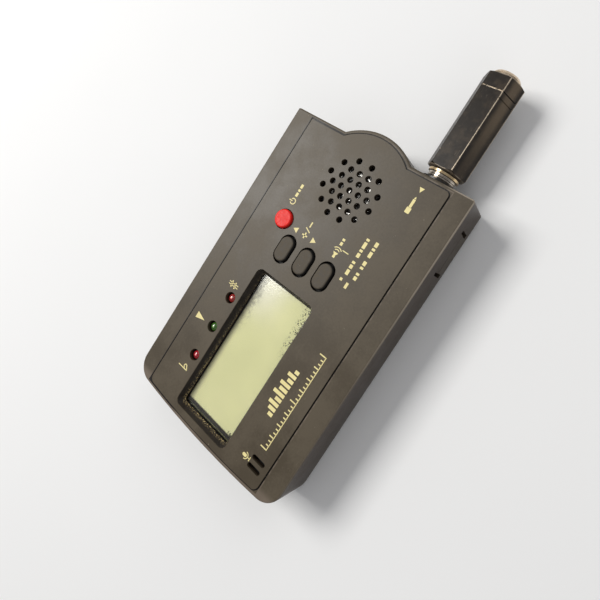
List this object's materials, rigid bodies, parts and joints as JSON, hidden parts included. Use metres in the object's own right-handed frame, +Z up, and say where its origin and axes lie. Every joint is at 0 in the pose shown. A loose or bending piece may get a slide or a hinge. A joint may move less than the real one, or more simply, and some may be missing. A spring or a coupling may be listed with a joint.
{
  "type": "pocket instrument tuner",
  "caption": "Card-size chromatic instrument tuner with a display, pitch lights, rubber keys, speaker grille and a hexagonal jack adapter plugged into its input.",
  "frame": {"origin": "centre of the flat back of the case", "axes": "+Z up through the face, +X along the case toward the jack and the adapter, +Y toward the side with the pitch lights"},
  "size_m": [0.1329, 0.061, 0.018],
  "materials": {
    "case_plastic": "fine matte texture, warm dark grey",
    "label_paper": "satin sheet",
    "screw_steel": "zinc plated",
    "clear_window": "clear, polished",
    "black_tape": "matte",
    "film": "polarising film",
    "lcd_glass": "polished",
    "reflector": "pale yellow green, satin",
    "black_plastic": "matte",
    "elastomer": "matte",
    "board": "solder mask",
    "carbon": "matte",
    "key_rubber": "matte",
    "power_red": "satin red",
    "red_lens": "moulded, glossy",
    "green_lens": "moulded, glossy",
    "tinned_wire": "tinned",
    "foam": "foam",
    "plated_steel": "plated",
    "cone_film": "thin film, satin",
    "copper_wire": "enamelled",
    "red_lead": "vinyl",
    "soft_rubber": "matte",
    "spring_metal": "plated",
    "cell_steel": "nickel plated",
    "cell_sleeve": "shrink film",
    "contact_nickel": "nickel plated",
    "can_sleeve": "shrink film",
    "ceramic": "ceramic",
    "plug_metal": "nickel plated, worn",
    "collar_metal": "gold toned plating, worn",
    "barrel_black": "black, worn satin"
  },
  "bodies": {
    "case": {"front_case": "case_plastic", "rear_case": "case_plastic", "rating_label": "label_paper", "case_screws": "screw_steel", "board_screws": "screw_steel", "display_window": "clear_window", "window_tape": "black_tape", "lcd_front_film": "film", "lcd_glass": "lcd_glass", "lcd_reflector": "reflector", "lcd_holder": "black_plastic", "contact_strip": "elastomer", "main_board": "board", "switch_pads": "carbon", "keypad_mat": "key_rubber", "led_sharp": "red_lens", "led_in_tune": "green_lens", "led_flat": "red_lens", "led_legs": "tinned_wire", "speaker_gasket": "foam", "speaker_frame": "plated_steel", "speaker_magnet": "plated_steel", "speaker_leads": "red_lead", "microphone": "plated_steel", "microphone_boot": "soft_rubber", "microphone_leads": "tinned_wire", "jack_body": "black_plastic", "jack_tip_spring": "spring_metal", "jack_sleeve_spring": "spring_metal", "battery_1_can": "cell_steel", "battery_1_jacket": "cell_sleeve", "battery_2_can": "cell_steel", "battery_2_jacket": "cell_sleeve", "battery_link_contact": "contact_nickel", "battery_plus_contact": "contact_nickel", "battery_minus_contact": "contact_nickel", "battery_springs": "contact_nickel", "tuner_chip": "black_plastic", "amplifier_chip": "black_plastic", "crystal": "plated_steel", "capacitors": "can_sleeve", "chip_parts": "ceramic"},
    "power_button": {"power_button": "power_red", "power_contact": "carbon"},
    "calibrate_up_key": {"calibrate_up_key": "key_rubber", "calibrate_up_contact": "carbon"},
    "calibrate_down_key": {"calibrate_down_key": "key_rubber", "calibrate_down_contact": "carbon"},
    "sound_key": {"sound_key": "key_rubber", "sound_contact": "carbon"},
    "battery_door": {"battery_door": "case_plastic"},
    "speaker_cone": {"speaker_cone": "cone_film", "speaker_coil": "copper_wire"},
    "adapter": {"adapter_tip": "plug_metal", "adapter_insulator": "black_plastic", "adapter_sleeve": "plug_metal", "adapter_collar": "collar_metal", "adapter_barrel": "barrel_black", "adapter_socket": "plug_metal"}
  },
  "joints": [
    {"name": "power_button_press", "type": "slide", "parent": "case", "child": "power_button", "axis": [0, 0, -1], "range_m": [0, 0.0008], "stiffness_N_per_m": 1000, "springref_m": -0.0006},
    {"name": "calibrate_up_key_press", "type": "slide", "parent": "case", "child": "calibrate_up_key", "axis": [0, 0, -1], "range_m": [0, 0.0008], "stiffness_N_per_m": 1000, "springref_m": -0.0006},
    {"name": "calibrate_down_key_press", "type": "slide", "parent": "case", "child": "calibrate_down_key", "axis": [0, 0, -1], "range_m": [0, 0.0008], "stiffness_N_per_m": 1000, "springref_m": -0.0006},
    {"name": "sound_key_press", "type": "slide", "parent": "case", "child": "sound_key", "axis": [0, 0, -1], "range_m": [0, 0.0008], "stiffness_N_per_m": 1000, "springref_m": -0.0006},
    {"name": "battery_door_slide", "type": "slide", "parent": "case", "child": "battery_door", "axis": [-1, 0, 0], "range_m": [0, 0.052]},
    {"name": "speaker_cone_drive", "type": "slide", "parent": "case", "child": "speaker_cone", "axis": [0, 0, 1], "range_m": [-0.0002, 0.0002], "stiffness_N_per_m": 800},
    {"name": "adapter_pull", "type": "slide", "parent": "case", "child": "adapter", "axis": [1, 0, 0], "range_m": [0, 0.034]}
  ]
}
